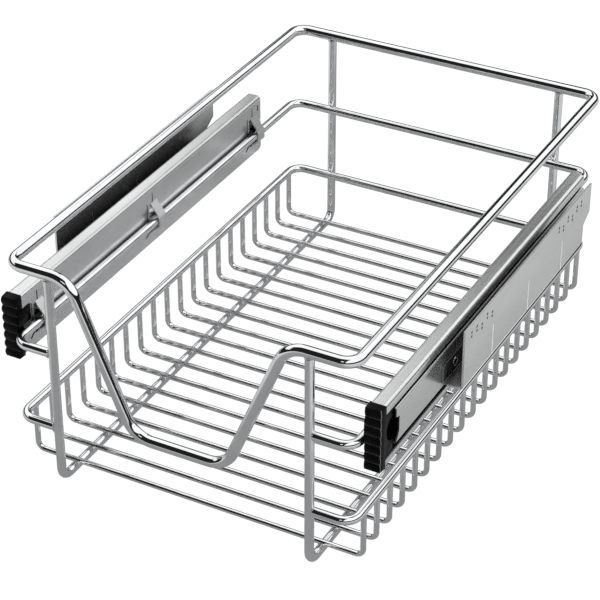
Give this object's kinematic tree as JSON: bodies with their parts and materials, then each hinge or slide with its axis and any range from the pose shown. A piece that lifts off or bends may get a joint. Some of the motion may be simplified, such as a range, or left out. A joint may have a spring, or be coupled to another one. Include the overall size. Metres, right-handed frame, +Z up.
{
  "type": "pull out cabinet basket",
  "caption": "Pull-out wire basket for a kitchen cabinet: chromed wire with a dipped front rim, hung between ball-bearing slides on folded side brackets.",
  "frame": {"origin": "middle of the basket's plan, on the underside of the floor runs", "axes": "+X to the right seen from the front, +Y from the front to the back, +Z up; the basket pulls out along -Y"},
  "size_m": [0.3436, 0.4488, 0.1882],
  "materials": {
    "chrome_wire": "polished chrome plate on steel wire",
    "zinc_steel": "bright zinc plate on cold-rolled sheet, satin",
    "bright_steel": "bright steel",
    "black_plastic": "moulded black plastic, satin"
  },
  "bodies": {
    "cabinet_side": {"side_bracket_left": "zinc_steel", "side_bracket_right": "zinc_steel", "slide_inner_member_left": "zinc_steel", "slide_inner_member_right": "zinc_steel", "bracket_rivets_left": "bright_steel", "bracket_rivets_right": "bright_steel"},
    "basket": {"top_rim": "chrome_wire", "mid_rail": "chrome_wire", "lower_rail": "chrome_wire", "frame_wire_left": "chrome_wire", "frame_wire_right": "chrome_wire", "cross_wire_01": "chrome_wire", "cross_wire_02": "chrome_wire", "cross_wire_03": "chrome_wire", "cross_wire_04": "chrome_wire", "cross_wire_05": "chrome_wire", "cross_wire_06": "chrome_wire", "cross_wire_07": "chrome_wire", "cross_wire_08": "chrome_wire", "cross_wire_09": "chrome_wire", "cross_wire_10": "chrome_wire", "cross_wire_11": "chrome_wire", "cross_wire_12": "chrome_wire", "cross_wire_13": "chrome_wire", "cross_wire_14": "chrome_wire", "cross_wire_15": "chrome_wire", "cross_wire_16": "chrome_wire", "cross_wire_17": "chrome_wire", "cross_wire_18": "chrome_wire", "cross_wire_19": "chrome_wire", "cross_wire_20": "chrome_wire", "slide_outer_member_left": "zinc_steel", "slide_outer_member_right": "zinc_steel", "end_cap_left": "black_plastic", "end_cap_right": "black_plastic", "slide_stop_left": "black_plastic", "slide_stop_right": "black_plastic"},
    "middle_member_left": {"slide_middle_member_left": "zinc_steel"},
    "outer_cage_left": {"outer_ball_cage_left": "zinc_steel", "outer_balls_left": "bright_steel"},
    "inner_cage_left": {"inner_ball_cage_left": "zinc_steel", "inner_balls_left": "bright_steel"},
    "middle_member_right": {"slide_middle_member_right": "zinc_steel"},
    "outer_cage_right": {"outer_ball_cage_right": "zinc_steel", "outer_balls_right": "bright_steel"},
    "inner_cage_right": {"inner_ball_cage_right": "zinc_steel", "inner_balls_right": "bright_steel"}
  },
  "joints": [
    {"name": "basket_slide", "type": "slide", "parent": "cabinet_side", "child": "basket", "axis": [0, -1, 0], "range_m": [0, 0.34]},
    {"name": "middle_member_left_slide", "type": "slide", "parent": "cabinet_side", "child": "middle_member_left", "axis": [0, -1, 0], "range_m": [0, 0.17]},
    {"name": "outer_cage_left_slide", "type": "slide", "parent": "cabinet_side", "child": "outer_cage_left", "axis": [0, -1, 0], "range_m": [0, 0.255]},
    {"name": "inner_cage_left_slide", "type": "slide", "parent": "cabinet_side", "child": "inner_cage_left", "axis": [0, -1, 0], "range_m": [0, 0.085]},
    {"name": "middle_member_right_slide", "type": "slide", "parent": "cabinet_side", "child": "middle_member_right", "axis": [0, -1, 0], "range_m": [0, 0.17]},
    {"name": "outer_cage_right_slide", "type": "slide", "parent": "cabinet_side", "child": "outer_cage_right", "axis": [0, -1, 0], "range_m": [0, 0.255]},
    {"name": "inner_cage_right_slide", "type": "slide", "parent": "cabinet_side", "child": "inner_cage_right", "axis": [0, -1, 0], "range_m": [0, 0.085]}
  ],
  "couplings": [
    {"joint": "middle_member_left_slide", "follows": "basket_slide", "ratio": 0.5},
    {"joint": "outer_cage_left_slide", "follows": "basket_slide", "ratio": 0.75},
    {"joint": "inner_cage_left_slide", "follows": "basket_slide", "ratio": 0.25},
    {"joint": "middle_member_right_slide", "follows": "basket_slide", "ratio": 0.5},
    {"joint": "outer_cage_right_slide", "follows": "basket_slide", "ratio": 0.75},
    {"joint": "inner_cage_right_slide", "follows": "basket_slide", "ratio": 0.25}
  ]
}
